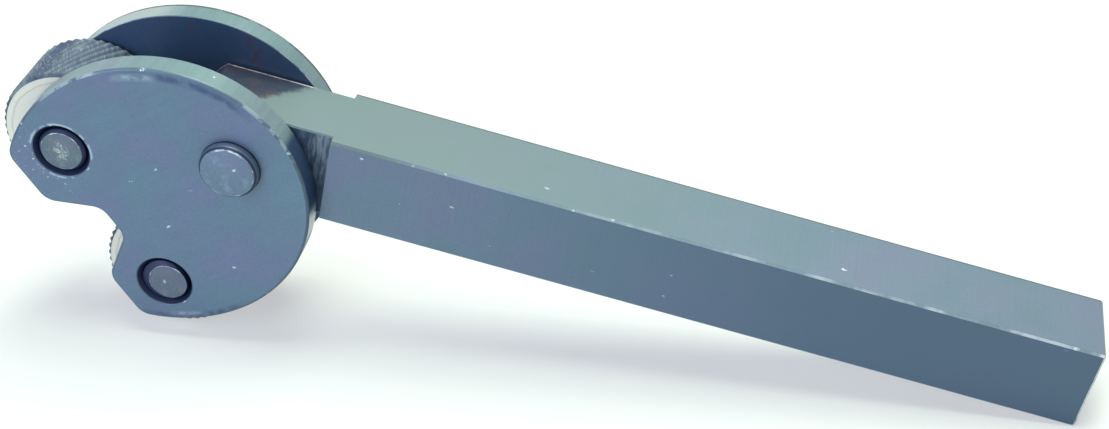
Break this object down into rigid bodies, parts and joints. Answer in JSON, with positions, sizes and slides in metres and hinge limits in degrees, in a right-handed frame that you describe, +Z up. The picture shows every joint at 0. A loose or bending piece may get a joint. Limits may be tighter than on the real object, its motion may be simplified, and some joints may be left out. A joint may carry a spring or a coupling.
{
  "type": "lathe knurling tool",
  "caption": "Lathe knurling tool: a rocking head of two cheek plates carries a pair of knurl wheels on a square shank, to press a diamond pattern into turned work.",
  "frame": {"origin": "on the bench, under the middle of the tool's overall box, with the tool lying as in the picture on its lower wheel and the tail of its shank", "axes": "+X along the tool towards the tail of the shank, with the head at -X; +Y across the tool towards the rear cheek plate; +Z up. The shank rises from the tail to the head by 11.5 degrees."},
  "size_m": [0.1486, 0.0208, 0.0432],
  "materials": {
    "shank_steel": "blue-grey oxide on milled steel, worn bright at the edges",
    "cheek_steel": "blue-grey oxide on blanked steel plate, worn bright at the edges",
    "pin_steel": "blue-grey oxide on turned steel",
    "wheel_steel": "hardened tool steel with ground sides and dull teeth"
  },
  "bodies": {
    "shank": {"shank": "shank_steel"},
    "head": {"front_cheek_plate": "cheek_steel", "rear_cheek_plate": "cheek_steel", "pivot_pin": "pin_steel", "upper_wheel_pin": "pin_steel", "lower_wheel_pin": "pin_steel"},
    "upper_wheel": {"upper_knurl_wheel": "wheel_steel"},
    "lower_wheel": {"lower_knurl_wheel": "wheel_steel"}
  },
  "joints": [
    {"name": "head_pivot", "type": "hinge", "parent": "shank", "child": "head", "pos_m": [-0.04174, 0, 0.02954], "axis": [0, 1, 0], "range_deg": [-3, 87]},
    {"name": "upper_wheel_spin", "type": "hinge", "parent": "head", "child": "upper_wheel", "pos_m": [-0.06478, 0, 0.02926], "axis": [0, 1, 0], "continuous": true},
    {"name": "lower_wheel_spin", "type": "hinge", "parent": "head", "child": "lower_wheel", "pos_m": [-0.05316, 0, 0.00953], "axis": [0, 1, 0], "continuous": true}
  ]
}
